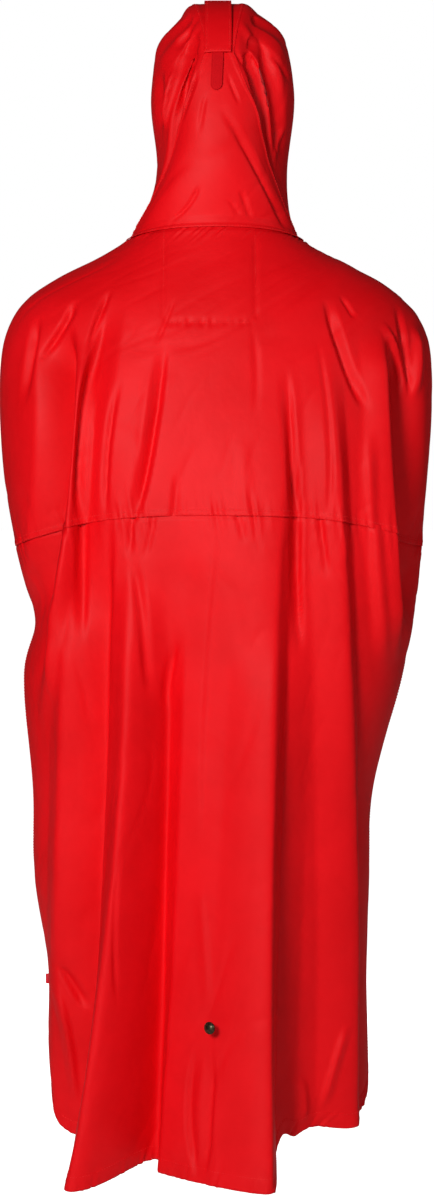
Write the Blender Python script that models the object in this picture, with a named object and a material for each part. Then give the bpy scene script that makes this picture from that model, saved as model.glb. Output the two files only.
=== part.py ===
"""Hooded rain poncho, standing in its worn shape with nobody in it.

The garment faces -Y, so +X is the left of the back when it is seen from behind. All sizes are metres.
The origin is the middle of the neck, level with where the shoulders start: the wearer's shoulders carry
the poncho there. The tables below hold the rings of the body, the arches of the hood and the folds.
They give the outer face of the cloth, and its wall lies inside that face.
"""

import math
from collections import namedtuple

import bmesh
import bpy
import numpy as np
from mathutils import Matrix, Vector

WALL = 0.002  # thickness of the cloth
SEAM_GAP = 0.0004  # left open between two pieces that are sewn together
HOOD_TRIM = 0.0005  # taken off each side of the seams of the hood, whose pleats run into them
RED = (0.68, 0.020, 0.018)
BRASS = (0.055, 0.045, 0.035)

# The body. Each row is a ring of cloth, from the neck down. z is given at the centre back, both sides
# and the centre front, left and right are how far the ring reaches from the middle, and square is the
# exponent of its oval.
Ring = namedtuple("Ring", "name back_z left_z right_z front_z left right back_y front_y side_y square")
RINGS = (
    Ring("neck seam", 0.025, 0.012, 0.012, -0.048, 0.111, 0.105, 0.092, -0.100, 0.000, 2.0),
    Ring("neck root", -0.015, -0.012, -0.012, -0.080, 0.152, 0.149, 0.108, -0.112, 0.000, 2.0),
    Ring("shoulder", -0.055, -0.040, -0.040, -0.118, 0.208, 0.204, 0.124, -0.122, -0.002, 2.1),
    Ring("shoulder end", -0.095, -0.070, -0.070, -0.155, 0.250, 0.246, 0.138, -0.130, -0.006, 2.2),
    Ring("arm top", -0.140, -0.110, -0.110, -0.195, 0.273, 0.271, 0.149, -0.137, -0.012, 2.3),
    Ring("upper arm", -0.185, -0.160, -0.160, -0.235, 0.281, 0.278, 0.157, -0.143, -0.018, 2.4),
    Ring("mid arm", -0.235, -0.230, -0.230, -0.278, 0.281, 0.278, 0.163, -0.148, -0.026, 2.5),
    Ring("above seam", -0.288, -0.308, -0.308, -0.322, 0.275, 0.273, 0.166, -0.152, -0.034, 2.5),
    Ring("yoke seam", -0.344, -0.386, -0.386, -0.368, 0.262, 0.267, 0.167, -0.155, -0.038, 2.5),
    Ring("elbow", -0.395, -0.436, -0.436, -0.415, 0.250, 0.263, 0.165, -0.158, -0.036, 2.5),
    Ring("arm end", -0.450, -0.486, -0.486, -0.470, 0.237, 0.256, 0.161, -0.162, -0.026, 2.4),
    Ring("opening", -0.535, -0.556, -0.556, -0.550, 0.250, 0.240, 0.154, -0.168, -0.014, 2.3),
    Ring("opening end", -0.690, -0.700, -0.700, -0.695, 0.238, 0.202, 0.142, -0.176, -0.010, 2.1),
    Ring("thigh", -0.810, -0.815, -0.815, -0.812, 0.236, 0.197, 0.132, -0.182, -0.010, 1.95),
    Ring("slit top", -0.925, -0.931, -0.931, -0.930, 0.219, 0.194, 0.124, -0.188, -0.010, 1.8),
    Ring("low slit", -1.045, -1.035, -1.018, -1.030, 0.219, 0.196, 0.118, -0.192, -0.010, 1.65),
    Ring("hem", -1.172, -1.142, -1.100, -1.125, 0.212, 0.196, 0.114, -0.194, -0.010, 1.55),
)
RING_INDEX = {ring.name: index for index, ring in enumerate(RINGS)}
# Where the hem hangs lower than its ring (drop above 0) or is drawn up by the folds (below 0).
HemDrop = namedtuple("HemDrop", "name x drop reach")
HEM_DROPS = (
    HemDrop("below ridge A", 0.142, 0.030, 0.045),
    HemDrop("right side", -0.118, -0.046, 0.078),
    HemDrop("beside the plateau", -0.075, -0.028, 0.026),
)
DROOP = 3.0  # a ring keeps its height across the back, then falls to its sides
SIDE_ANGLE = math.radians(97)  # where back and front meet, from the centre back

# The hood. Each row is an arch that stands on the neck seam and passes over the head, from the edge
# round the face to the neck seam at the back. lean moves its top to the left.
Arch = namedtuple("Arch", "name foot_angle top_y top_z half_width lean square")
ARCHES = (
    Arch("face edge", 160.0, -0.116, 0.278, 0.089, -0.006, 3.0),
    Arch("brow", 143.0, -0.078, 0.305, 0.094, -0.006, 3.8),
    Arch("crown front", 128.0, -0.022, 0.318, 0.096, -0.006, 4.4),
    Arch("crown", 115.0, 0.040, 0.306, 0.096, -0.007, 4.0),
    Arch("strap end", 105.0, 0.084, 0.258, 0.090, -0.007, 3.1),
    Arch("back of head", 98.0, 0.104, 0.178, 0.082, -0.004, 2.6),
    Arch("nape", 93.0, 0.102, 0.095, 0.086, -0.002, 2.3),
    Arch("neck seam", 90.0, 0.092, 0.025, 0.108, 0.000, 2.0),
)
FLARE_HEIGHT = 0.150  # how far above their feet the arches spread or close in
WAIST = 0.13  # share by which the hood is narrower over the neck
WAIST_TOP = 0.095
WAIST_FADE = 0.110

# Folds. Ridges have a depth above 0 and troughs one below 0. Each runs along a curve through three
# points, as they are seen from behind, and its depth goes from depth1 to depth3. left and right are
# how far its flanks reach.
Fold = namedtuple("Fold", "name x1 z1 x2 z2 x3 z3 depth1 depth3 left right")
OFF_HEM = -1.35
BACK_FOLDS = (
    Fold("left arm groove", 0.190, -0.10, 0.192, -0.30, 0.226, -0.49, -0.036, -0.036, 0.046, 0.012),
    Fold("left side ridge", 0.170, -0.12, 0.176, -0.34, 0.226, -0.62, 0.012, 0.018, 0.016, 0.018),
    Fold("left trough", 0.136, -0.06, 0.163, -0.52, 0.186, -1.05, -0.012, -0.024, 0.020, 0.026),
    Fold("ridge A", 0.114, -0.36, 0.119, -0.68, 0.142, OFF_HEM, 0.014, 0.096, 0.030, 0.046),
    Fold("trough B", 0.062, -0.40, 0.070, -0.70, 0.092, OFF_HEM, -0.008, -0.046, 0.036, 0.044),
    Fold("plateau C", -0.090, -0.16, -0.054, -0.62, -0.046, OFF_HEM, 0.010, 0.100, 0.130, 0.022),
    Fold("ridge D", -0.138, -0.12, -0.146, -0.45, -0.170, -0.86, 0.016, 0.024, 0.044, 0.016),
    Fold("right side ridge", -0.200, -0.10, -0.206, -0.28, -0.226, -0.52, 0.012, 0.020, 0.026, 0.016),
    Fold("right arm groove", -0.222, -0.11, -0.230, -0.28, -0.250, -0.50, -0.026, -0.032, 0.012, 0.040),
)
FRONT_FOLDS = (
    Fold("front left arm groove", 0.185, -0.14, 0.188, -0.34, 0.215, -0.56, -0.014, -0.024, 0.040, 0.030),
    Fold("front left ridge", 0.120, -0.20, 0.118, -0.60, 0.135, OFF_HEM, 0.006, 0.040, 0.040, 0.050),
    Fold("front middle trough", 0.030, -0.30, 0.026, -0.70, 0.020, OFF_HEM, -0.004, -0.030, 0.050, 0.050),
    Fold("front right ridge", -0.095, -0.20, -0.090, -0.62, -0.085, OFF_HEM, 0.006, 0.044, 0.050, 0.040),
    Fold("front right arm groove", -0.185, -0.14, -0.188, -0.34, -0.215, -0.56, -0.014, -0.024, 0.030, 0.040),
)
FOLD_START = 0.16  # share of a fold's length over which it grows from nothing
FOLD_END = 0.20  # and over which one that ends above the hem dies away

# Pleats of the hood fan out from the lower corners of the strap. Each runs from one place on the count
# of the arches to another, and across counts from 0 at the top of an arch to 1 at its foot.
Pleat = namedtuple("Pleat", "name side arch1 across1 arch2 across2 depth reach")
PLEATS = (
    Pleat("left seam pleat", 1, 4.25, 0.20, 5.3, 0.84, -0.006, 0.30),
    Pleat("left middle pleat", 1, 3.95, 0.16, 4.6, 0.78, -0.006, 0.36),
    Pleat("left front pleat", 1, 3.30, 0.18, 2.9, 0.62, -0.005, 0.40),
    Pleat("right seam pleat", -1, 4.30, 0.18, 5.3, 0.84, -0.006, 0.30),
    Pleat("right middle pleat", -1, 3.90, 0.20, 4.4, 0.80, -0.005, 0.40),
    Pleat("right front pleat", -1, 3.20, 0.18, 2.7, 0.66, -0.005, 0.40),
)

# The centre panel of the hood: where its left and right edges are, as shares of the arches.
PanelEdge = namedtuple("PanelEdge", "name place left right")
PANEL_EDGES = (
    PanelEdge("face edge", 0.00, 0.090, 0.050),
    PanelEdge("below the strap", 4.25, 0.084, 0.048),
    PanelEdge("top of the fan", 4.50, 0.144, 0.107),
    PanelEdge("middle of the fan", 4.75, 0.244, 0.202),
    PanelEdge("back of head", 5.00, 0.410, 0.384),
    PanelEdge("behind the ears", 5.25, 0.545, 0.530),
    PanelEdge("below the ears", 5.60, 0.660, 0.650),
    PanelEdge("nape", 6.00, 0.740, 0.735),
    PanelEdge("neck seam", 7.00, 0.980, 0.980),
)

HEM_CORNER = 0.055  # radius of the four lower corners beside the slits
OPENING_HALF = 0.040  # half the width of the arm openings at their middle
SLIT_HALF = 0.012  # half the width of the side slits at the hem

# Trim. Places are on the count of the arches or of the rings.
TRIM_LIFT = 0.0005  # between a piece of trim and the cloth that it lies on
TRIM_COLUMNS = 5
STRAP_WIDTH = 0.034
STRAP_WALL = 0.0018
STRAP_START = 1.2
STRAP_END = 4.27
STRAP_SHIFT = 0.0055  # the strap lies this far left of the middle of the hood
STRAP_ROWS = 25
LOOP_WIDTH = 0.0145
LOOP_LENGTH = 0.050
LOOP_WALL = 0.0012
LOOP_ROWS = 9
ROUND_SHARE = 0.16  # share of the loop strip that its round end takes
NARROWEST = 0.2  # of its width is left at the tip of the round end
CAP_RADIUS = 0.0077
CAP_HEIGHT = 0.0042
CAP_X = 0.0087
CAP_PLACE = 14.40
CAP_STEPS = 20
# The cap of the press stud from its foot to its middle: a rolled rim, a groove and a low dome.
CapPoint = namedtuple("CapPoint", "name radius height")
CAP_PROFILE = (
    CapPoint("middle of foot", 0.00, 0.00),
    CapPoint("foot", 0.90, 0.00),
    CapPoint("rim", 1.00, 0.25),
    CapPoint("rim top", 0.97, 0.50),
    CapPoint("rim inside", 0.86, 0.62),
    CapPoint("groove", 0.80, 0.58),
    CapPoint("dome side", 0.66, 0.80),
    CapPoint("dome shoulder", 0.40, 0.95),
    CapPoint("dome top", 0.00, 1.00),
)
TAB_SIZE = (0.006, 0.0026, 0.0125)
TAB_ROUND = 0.0006
TAB_Z = -0.950

SEAM_PLACE = 0.005  # half a cross seam, on the count of rings or arches
BACK_COLUMNS = 55
FRONT_COLUMNS = 35
YOKE_ROWS = 12
PANEL_ROWS = 17
HOOD_ROWS = 27
NORMAL_STEP = 0.003  # on the same counts
SHORT_OF_FOOT = 0.97  # at the very feet of the arches the hood has no clear normal
FINE = 241  # points along a ring or an arch from which the even columns are worked out
FLANK_FREE = 0.25  # the folds die away where the cosine of a ring's angle is smaller than this
PLEAT_SPREAD = 3.0  # arches that are as far apart as the top and the foot of one arch


def between_rows(rows, place):
    """The values of a table at a place between its rows, on a smooth curve through them."""
    table = np.array([row[1:] for row in rows])
    place = np.clip(np.asarray(place, dtype=float), 0, len(rows) - 1)
    low = np.minimum(place.astype(int), len(rows) - 2)
    part = (place - low)[..., None]
    slope = np.gradient(table, axis=0)
    values = (
        (2 * part**3 - 3 * part**2 + 1) * table[low]
        + (part**3 - 2 * part**2 + part) * slope[low]
        + (3 * part**2 - 2 * part**3) * table[low + 1]
        + (part**3 - part**2) * slope[low + 1]
    )
    return type(rows[0])("", *np.moveaxis(values, -1, 0))


def signed_power(value, power):
    return np.sign(value) * np.abs(value) ** power


def smooth(value):
    """0 below 0, 1 above 1 and an even curve between them."""
    value = np.clip(value, 0, 1)
    return value * value * (3 - 2 * value)


def plain_body(place, angle):
    """The body without folds. place counts the rings, and angle goes round from the centre back."""
    ring = between_rows(RINGS, place)
    side = signed_power(np.sin(angle), 2 / ring.square)
    depth = signed_power(np.cos(angle), 2 / ring.square)
    x = side * np.where(side > 0, ring.left, ring.right)
    y = ring.side_y + depth * np.where(depth > 0, ring.back_y - ring.side_y, ring.side_y - ring.front_y)
    middle_z = np.where(depth > 0, ring.back_z, ring.front_z)
    for hem_drop in HEM_DROPS:
        nearness = smooth(1 - np.abs(x - hem_drop.x) / hem_drop.reach) * (depth > 0)
        middle_z = middle_z - hem_drop.drop * nearness * smooth(place - RING_INDEX["low slit"])
    side_z = np.where(side > 0, ring.left_z, ring.right_z)
    z = middle_z + (side_z - middle_z) * np.abs(side) ** DROOP
    return np.stack(np.broadcast_arrays(x, y, z), axis=-1)


def outward(surface, place, turn):
    """Unit normals of a surface, worked out from short steps down it and round it."""
    if surface in (plain_hood, hood):
        turn = turn * SHORT_OF_FOOT
    down = surface(place + NORMAL_STEP, turn) - surface(place - NORMAL_STEP, turn)
    round_it = surface(place, turn + NORMAL_STEP) - surface(place, turn - NORMAL_STEP)
    normal = np.cross(round_it, down)
    return normal / np.linalg.norm(normal, axis=-1, keepdims=True)


def fold_height(x, z, folds):
    """How far the folds push the cloth out at points seen from behind at x and z."""
    height = np.zeros(np.shape(x))
    for fold in folds:
        run = (fold.z1 - z) / (fold.z1 - fold.z3)
        middle = (fold.z1 - fold.z2) / (fold.z1 - fold.z3)
        bow = (fold.x2 - fold.x1 - middle * (fold.x3 - fold.x1)) / (middle * (middle - 1))
        held = np.clip(run, 0, 1)
        path = fold.x1 + held * (fold.x3 - fold.x1) + bow * held * (held - 1)
        depth = fold.depth1 + (fold.depth3 - fold.depth1) * held
        fade = smooth(run / FOLD_START)
        if fold.z3 > OFF_HEM:
            fade = fade * smooth((1 - run) / FOLD_END)
        away = x - path
        flank = np.clip(np.abs(away) / np.where(away > 0, fold.left, fold.right), 0, 1)
        height += depth * fade * (0.5 + 0.5 * np.cos(np.pi * flank))
    return height


def body(place, angle):
    """The body with its folds."""
    point = plain_body(place, angle)
    back = smooth(np.cos(angle) / FLANK_FREE)
    front = smooth(-np.cos(angle) / FLANK_FREE)
    height = back * fold_height(point[..., 0], point[..., 2], BACK_FOLDS)
    height = height + front * fold_height(point[..., 0], point[..., 2], FRONT_FOLDS)
    return point + height[..., None] * outward(plain_body, place, angle)


def arched(place, across):
    """Points of the hood's arches, whose last one comes close to the neck seam."""
    arch = between_rows(ARCHES, place)
    foot = plain_body(np.zeros(np.shape(across)), np.sign(across) * np.radians(arch.foot_angle))
    turn = (1 - np.abs(across)) * math.pi / 2
    rise = signed_power(np.sin(turn), 2 / arch.square)
    reach = np.cos(turn) ** (2 / arch.square)
    y = foot[..., 1] + (arch.top_y - foot[..., 1]) * rise
    z = foot[..., 2] + (arch.top_z - foot[..., 2]) * rise
    half_width = arch.half_width * (1 - WAIST + WAIST * smooth((z - WAIST_TOP) / WAIST_FADE))
    low = np.clip(1 - (z - foot[..., 2]) / FLARE_HEIGHT, 0, 1) ** 2
    flare = (np.abs(foot[..., 0]) - half_width) * low
    x = np.sign(across) * (half_width * reach + flare) + arch.lean * (1 - low)
    return np.stack(np.broadcast_arrays(x, y, z), axis=-1)


def plain_hood(place, across):
    """The hood without pleats. place counts the arches, and across goes from -1, right, to 1, left."""
    last = len(ARCHES) - 1
    neck = plain_body(np.zeros(np.shape(across)), across * math.pi / 2)
    settle = smooth(np.asarray(place) - last + 1)[..., None]
    return arched(place, across) + settle * (neck - arched(np.full(np.shape(across), last), across))


def pleat_height(place, across):
    """How far the pleats push the hood in. They are narrow at the strap and wider lower down."""
    height = np.zeros(np.shape(across))
    for pleat in PLEATS:
        start = np.array([pleat.arch1, pleat.across1 * PLEAT_SPREAD])
        line = np.array([pleat.arch2, pleat.across2 * PLEAT_SPREAD]) - start
        here = np.stack(np.broadcast_arrays(place, across * pleat.side * PLEAT_SPREAD), axis=-1) - start
        run = np.clip(here @ line / (line @ line), 0, 1)
        gap = np.linalg.norm(here - run[..., None] * line, axis=-1)
        flank = np.clip(gap / (pleat.reach * (0.5 + run)), 0, 1)
        height += pleat.depth * smooth((1 - run) / 0.5) * (0.5 + 0.5 * np.cos(np.pi * flank))
    return height


def hood(place, across):
    """The hood with its pleats."""
    point = plain_hood(place, across)
    return point + pleat_height(place, across)[..., None] * outward(plain_hood, place, across)


def even_turns(surface, place, first, last, trim, count):
    """Turns, from first to last, of evenly spaced points on a surface, with trim left off both ends."""
    fine = np.linspace(first, last, FINE)
    point = surface(np.full(FINE, place), fine)
    run = np.concatenate(([0.0], np.cumsum(np.linalg.norm(np.diff(point, axis=0), axis=1))))
    wanted = np.linspace(trim, run[-1] - trim, count)
    return np.interp(wanted, run, fine)


def side_gap(z):
    """Half the gap between the back and the front at a height: sewn, arm opening, sewn, then slit."""
    top, bottom = RINGS[RING_INDEX["arm end"]].left_z, RINGS[RING_INDEX["thigh"]].left_z
    slit, hem = RINGS[RING_INDEX["slit top"]].left_z, RINGS[-1].left_z
    run = np.clip((top - z) / (top - bottom), 0, 1)
    opening = OPENING_HALF * np.sin(math.pi * run) ** 0.8
    return SEAM_GAP / 2 + opening + SLIT_HALF * smooth((slit - z) / (slit - hem))


def body_grid(first_ring, last_ring, front, rows, columns):
    """Places and angles of a panel's points, row by row from the top."""
    first, last = RING_INDEX[first_ring], RING_INDEX[last_ring]
    edges = (SIDE_ANGLE, 2 * math.pi - SIDE_ANGLE) if front else (-SIDE_ANGLE, SIDE_ANGLE)
    places, angles = np.zeros((rows, columns)), np.zeros((rows, columns))
    for row in range(rows):
        share = row / (rows - 1)
        ring = first + (last - first) * share
        ring = np.clip(ring, 2 * NORMAL_STEP, len(RINGS) - 1 - 2 * NORMAL_STEP)
        places[row] = first + SEAM_PLACE + (last - first - 2 * SEAM_PLACE) * share
        angles[row] = even_turns(body, ring, *edges, side_gap(between_rows(RINGS, ring).left_z), columns)
    if last_ring == "hem":
        places = round_corners(places, angles)
    return places, angles


def round_corners(places, angles):
    """Raise the ends of the hem into round corners."""
    point = body(places[-1], angles[-1])
    run = np.concatenate(([0.0], np.cumsum(np.linalg.norm(np.diff(point, axis=0), axis=1))))
    inset = np.clip(HEM_CORNER - np.minimum(run, run[-1] - run), 0, HEM_CORNER)
    rise = HEM_CORNER - np.sqrt(HEM_CORNER**2 - inset**2)
    share = (places - places[0]) / (places[-1] - places[0])
    return places - share**3 * rise / (RINGS[-2].right_z - RINGS[-1].right_z)


def hood_grid(part, columns):
    """Places and turns of the hood's centre panel (part 0), left side (part 1) or right side (-1)."""
    table = np.array([edge[1:] for edge in PANEL_EDGES])
    places, turns = np.zeros((HOOD_ROWS, columns)), np.zeros((HOOD_ROWS, columns))
    for row in range(HOOD_ROWS):
        share = row / (HOOD_ROWS - 1)
        place = SEAM_PLACE + (len(ARCHES) - 1 - 2 * SEAM_PLACE) * share
        left, right = (np.interp(place, table[:, 0], table[:, column]) for column in (1, 2))
        first, final = {0: (-right, left), 1: (left, 1), -1: (-1, -right)}[part]
        places[row] = place
        turns[row] = even_turns(hood, place, first, final, HOOD_TRIM, columns)
    return places, turns


def material(name, colour, roughness, metallic=0.0):
    made = bpy.data.materials.new(name)
    made.use_nodes = True
    shader = made.node_tree.nodes["Principled BSDF"]
    shader.inputs["Base Color"].default_value = (*colour, 1.0)
    shader.inputs["Roughness"].default_value = roughness
    shader.inputs["Metallic"].default_value = metallic
    made.diffuse_color = (*colour, 1.0)
    return made


def place_object(name, mesh, finish):
    """Put a finished bmesh into the scene as one named piece."""
    bmesh.ops.recalc_face_normals(mesh, faces=mesh.faces[:])
    if mesh.calc_volume(signed=True) < 0:
        bmesh.ops.reverse_faces(mesh, faces=mesh.faces[:])
    data = bpy.data.meshes.new(name)
    mesh.to_mesh(data)
    mesh.free()
    data.shade_smooth()
    data.set_sharp_from_angle(angle=math.radians(50))
    data.materials.append(finish)
    piece = bpy.data.objects.new(name, data)
    bpy.context.scene.collection.objects.link(piece)
    return piece


def wall(name, surface, places, turns, finish, lift=0.0, thickness=WALL):
    """A closed wall of cloth on a surface: its outer face is lifted off, and its inner face lies inside."""
    rows, columns = places.shape
    seam = RING_INDEX["yoke seam"]
    on_seam = (surface is body) & (np.abs(places - seam) < 2 * SEAM_PLACE)
    base = plain_hood if surface is hood else surface
    normal = outward(base, np.where(on_seam, seam, places), turns)
    outer = surface(places, turns) + lift * normal
    inner = outer - thickness * normal
    mesh = bmesh.new()
    bmesh.ops.create_grid(mesh, x_segments=columns - 1, y_segments=rows - 1, size=1.0)
    index = mesh.verts.layers.int.new("index")
    for vertex in mesh.verts:
        row = round((vertex.co.y + 1) / 2 * (rows - 1))
        column = round((vertex.co.x + 1) / 2 * (columns - 1))
        vertex[index] = row * columns + column
    copied = bmesh.ops.extrude_face_region(mesh, geom=mesh.faces[:])["geom"]
    inside = {vertex for vertex in copied if isinstance(vertex, bmesh.types.BMVert)}
    for vertex in mesh.verts:
        row, column = divmod(vertex[index], columns)
        vertex.co = (inner if vertex in inside else outer)[row, column]
    return place_object(name, mesh, finish)


def make_body(finish):
    for name, first_ring, last_ring, front, rows, columns in (
        ("back_yoke", "neck seam", "yoke seam", False, YOKE_ROWS, BACK_COLUMNS),
        ("front_yoke", "neck seam", "yoke seam", True, YOKE_ROWS, FRONT_COLUMNS),
        ("back_panel", "yoke seam", "hem", False, PANEL_ROWS, BACK_COLUMNS),
        ("front_panel", "yoke seam", "hem", True, PANEL_ROWS, FRONT_COLUMNS),
    ):
        wall(name, body, *body_grid(first_ring, last_ring, front, rows, columns), finish)


def make_hood(finish):
    wall("hood_center", hood, *hood_grid(0, 9), finish)
    wall("hood_left", hood, *hood_grid(1, 12), finish)
    wall("hood_right", hood, *hood_grid(-1, 12), finish)


def middle_place(start, distance):
    """The place on the hood's middle line that lies a distance behind another."""
    fine = np.linspace(start, len(ARCHES) - 1, FINE)
    point = hood(fine, np.zeros(FINE))
    run = np.concatenate(([0.0], np.cumsum(np.linalg.norm(np.diff(point, axis=0), axis=1))))
    return float(np.interp(distance, run, fine))


def strip(name, first, last, width, thickness, rows, round_end, finish):
    """A band along the middle of the hood, with a square or a round lower end."""
    places, turns = np.zeros((rows, TRIM_COLUMNS)), np.zeros((rows, TRIM_COLUMNS))
    fine = np.linspace(-0.5, 0.5, FINE)
    for row in range(rows):
        share = row / (rows - 1)
        place = first + (last - first) * share
        x = hood(np.full(FINE, place), fine)[:, 0]
        half = width / 2
        if round_end:
            short = 1 - min((1 - share) / ROUND_SHARE, 1)
            half *= max(math.sqrt(1 - short**2), NARROWEST)
        wanted = np.interp(0.0, fine, x) + STRAP_SHIFT + np.linspace(-half, half, TRIM_COLUMNS)
        places[row] = place
        turns[row] = np.interp(wanted, x, fine)
    return wall(name, hood, places, turns, finish, TRIM_LIFT + thickness, thickness)


def make_strap(finish):
    strip("hood_strap", STRAP_START, STRAP_END, STRAP_WIDTH, STRAP_WALL, STRAP_ROWS, False, finish)
    loop_start = middle_place(STRAP_END, SEAM_GAP)
    loop_end = middle_place(STRAP_END, SEAM_GAP + LOOP_LENGTH)
    strip("hood_loop_strip", loop_start, loop_end, LOOP_WIDTH, LOOP_WALL, LOOP_ROWS, True, finish)


def make_snap_cap(finish):
    """The domed cap of a press stud, low on the middle of the back."""
    angles = np.linspace(-0.2, 0.2, FINE)
    x = body(np.full(FINE, CAP_PLACE), angles)[:, 0]
    angle = float(np.interp(CAP_X, x, angles))
    point = Vector(body(CAP_PLACE, angle))
    normal = Vector(outward(body, CAP_PLACE, angle))
    mesh = bmesh.new()
    profile = [mesh.verts.new((CAP_RADIUS * cap.radius, 0.0, CAP_HEIGHT * cap.height)) for cap in CAP_PROFILE]
    edges = [mesh.edges.new(pair) for pair in zip(profile, profile[1:])]
    bmesh.ops.spin(mesh, geom=profile + edges, cent=(0, 0, 0), axis=(0, 0, 1), angle=2 * math.pi,
                   steps=CAP_STEPS, use_merge=True)
    bmesh.ops.remove_doubles(mesh, verts=mesh.verts[:], dist=0.00005)
    turn = Vector((0, 0, 1)).rotation_difference(normal).to_matrix().to_4x4()
    shift = Matrix.Translation(point + SEAM_GAP * normal)
    bmesh.ops.transform(mesh, matrix=shift @ turn, verts=mesh.verts[:])
    place_object("snap_cap", mesh, finish)


def make_side_tab(finish):
    """A plain tab folded over the left side seam, where the slit starts."""
    places = np.linspace(RING_INDEX["thigh"], RING_INDEX["hem"], FINE)
    point = body(places, np.full(FINE, SIDE_ANGLE))
    place = float(np.interp(-TAB_Z, -point[:, 2], places))
    at = Vector(body(place, SIDE_ANGLE))
    normal = Vector(outward(body, place, SIDE_ANGLE))
    mesh = bmesh.new()
    bmesh.ops.create_cube(mesh, size=1.0)
    bmesh.ops.scale(mesh, vec=TAB_SIZE, verts=mesh.verts[:])
    bmesh.ops.bevel(mesh, geom=mesh.edges[:], offset=TAB_ROUND, offset_type="OFFSET", affect="EDGES",
                    segments=2, profile=0.5, material=-1)
    turn = Vector((1, 0, 0)).rotation_difference(normal).to_matrix().to_4x4()
    shift = Matrix.Translation(at + (TAB_SIZE[0] / 2 + 2 * TRIM_LIFT) * normal)
    bmesh.ops.transform(mesh, matrix=shift @ turn, verts=mesh.verts[:])
    place_object("side_tab", mesh, finish)


def main():
    for old in list(bpy.data.objects):
        bpy.data.objects.remove(old)
    cloth = material("red coated cloth", RED, 0.45)
    make_body(cloth)
    make_hood(cloth)
    make_strap(cloth)
    make_snap_cap(material("dark brass", BRASS, 0.35, 0.9))
    make_side_tab(cloth)


main()
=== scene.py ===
import math
from collections import namedtuple

import bmesh
import bpy
import numpy as np
from mathutils import Matrix, Vector


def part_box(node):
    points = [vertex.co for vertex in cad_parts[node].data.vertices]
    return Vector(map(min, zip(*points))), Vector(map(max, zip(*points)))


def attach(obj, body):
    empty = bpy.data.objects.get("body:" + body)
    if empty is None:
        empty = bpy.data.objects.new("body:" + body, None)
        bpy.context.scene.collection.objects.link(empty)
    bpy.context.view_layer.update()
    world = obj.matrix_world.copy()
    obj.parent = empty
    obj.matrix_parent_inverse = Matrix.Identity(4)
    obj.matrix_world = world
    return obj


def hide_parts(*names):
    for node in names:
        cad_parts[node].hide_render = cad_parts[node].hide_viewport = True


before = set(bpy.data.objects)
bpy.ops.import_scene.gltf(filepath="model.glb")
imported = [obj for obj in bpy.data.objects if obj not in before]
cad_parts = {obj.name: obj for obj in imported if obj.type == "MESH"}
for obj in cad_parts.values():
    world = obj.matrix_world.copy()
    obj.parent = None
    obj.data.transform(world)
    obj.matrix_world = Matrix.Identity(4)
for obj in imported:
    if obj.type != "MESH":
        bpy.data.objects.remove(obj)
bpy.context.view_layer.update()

# ---------------------------------------------------------------------------------------------------
# The shape that the sewn poncho takes when it is worn: one tube of coated cloth, cut wide, that the
# shoulders carry. It is given as rings from the neck down, with the folds that run along it. The two
# yokes and the two lower panels below are cut from this one surface.


def in_metres(kind, first, last, rows):
    """The rows of a table as records, with the columns before the last one, from the first, in metres."""
    return [kind(*row[:first], *(length / 1000 for length in row[first:last]), *row[last:]) for row in rows]


# The tables of rings and folds give lengths in millimetres, except for square and crisp.
Ring = namedtuple("Ring", "name back_z left_z right_z front_z left right back_y front_y side_y square")
RINGS = in_metres(Ring, 1, 10, (
    ("neck seam", 25, 12, 12, -48, 111, 105, 92, -100, 0, 2.0),
    ("neck root", -15, -12, -12, -80, 152, 149, 108, -112, 0, 2.0),
    ("shoulder", -55, -40, -40, -118, 208, 204, 124, -122, -2, 2.1),
    ("shoulder end", -95, -70, -70, -155, 250, 246, 138, -130, -6, 2.2),
    ("arm top", -140, -110, -110, -195, 273, 271, 149, -137, -12, 2.3),
    ("upper arm", -185, -160, -160, -235, 281, 278, 157, -143, -18, 2.4),
    ("mid arm", -235, -230, -230, -278, 281, 278, 163, -148, -26, 2.5),
    ("above seam", -288, -308, -308, -322, 275, 273, 166, -152, -34, 2.5),
    ("yoke seam", -344, -386, -386, -368, 262, 267, 167, -155, -38, 2.5),
    ("elbow", -395, -436, -436, -415, 250, 263, 165, -158, -36, 2.5),
    ("arm end", -450, -486, -486, -470, 237, 256, 161, -162, -26, 2.4),
    ("opening", -535, -556, -556, -550, 250, 240, 154, -168, -14, 2.3),
    ("opening end", -690, -700, -700, -695, 238, 202, 142, -176, -10, 2.1),
    ("thigh", -810, -815, -815, -812, 236, 197, 132, -182, -10, 1.95),
    ("slit top", -925, -931, -931, -930, 219, 194, 124, -188, -10, 1.8),
    ("low slit", -1045, -1035, -1018, -1030, 219, 196, 118, -192, -10, 1.65),
    ("hem", -1172, -1142, -1100, -1125, 212, 196, 114, -194, -10, 1.55),
))
RING_INDEX = {ring.name: index for index, ring in enumerate(RINGS)}
HemDrop = namedtuple("HemDrop", "name x drop reach")
HEM_DROPS = (
    HemDrop("below ridge A", 0.150, 0.030, 0.054),
    HemDrop("right side", -0.118, -0.046, 0.078),
    HemDrop("beside the plateau", -0.075, -0.028, 0.026),
)
DROOP = 3.0  # a ring keeps its height across the back, then falls to its sides
SIDE_ANGLE = math.radians(97)  # where back and front meet, from the centre back

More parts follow.
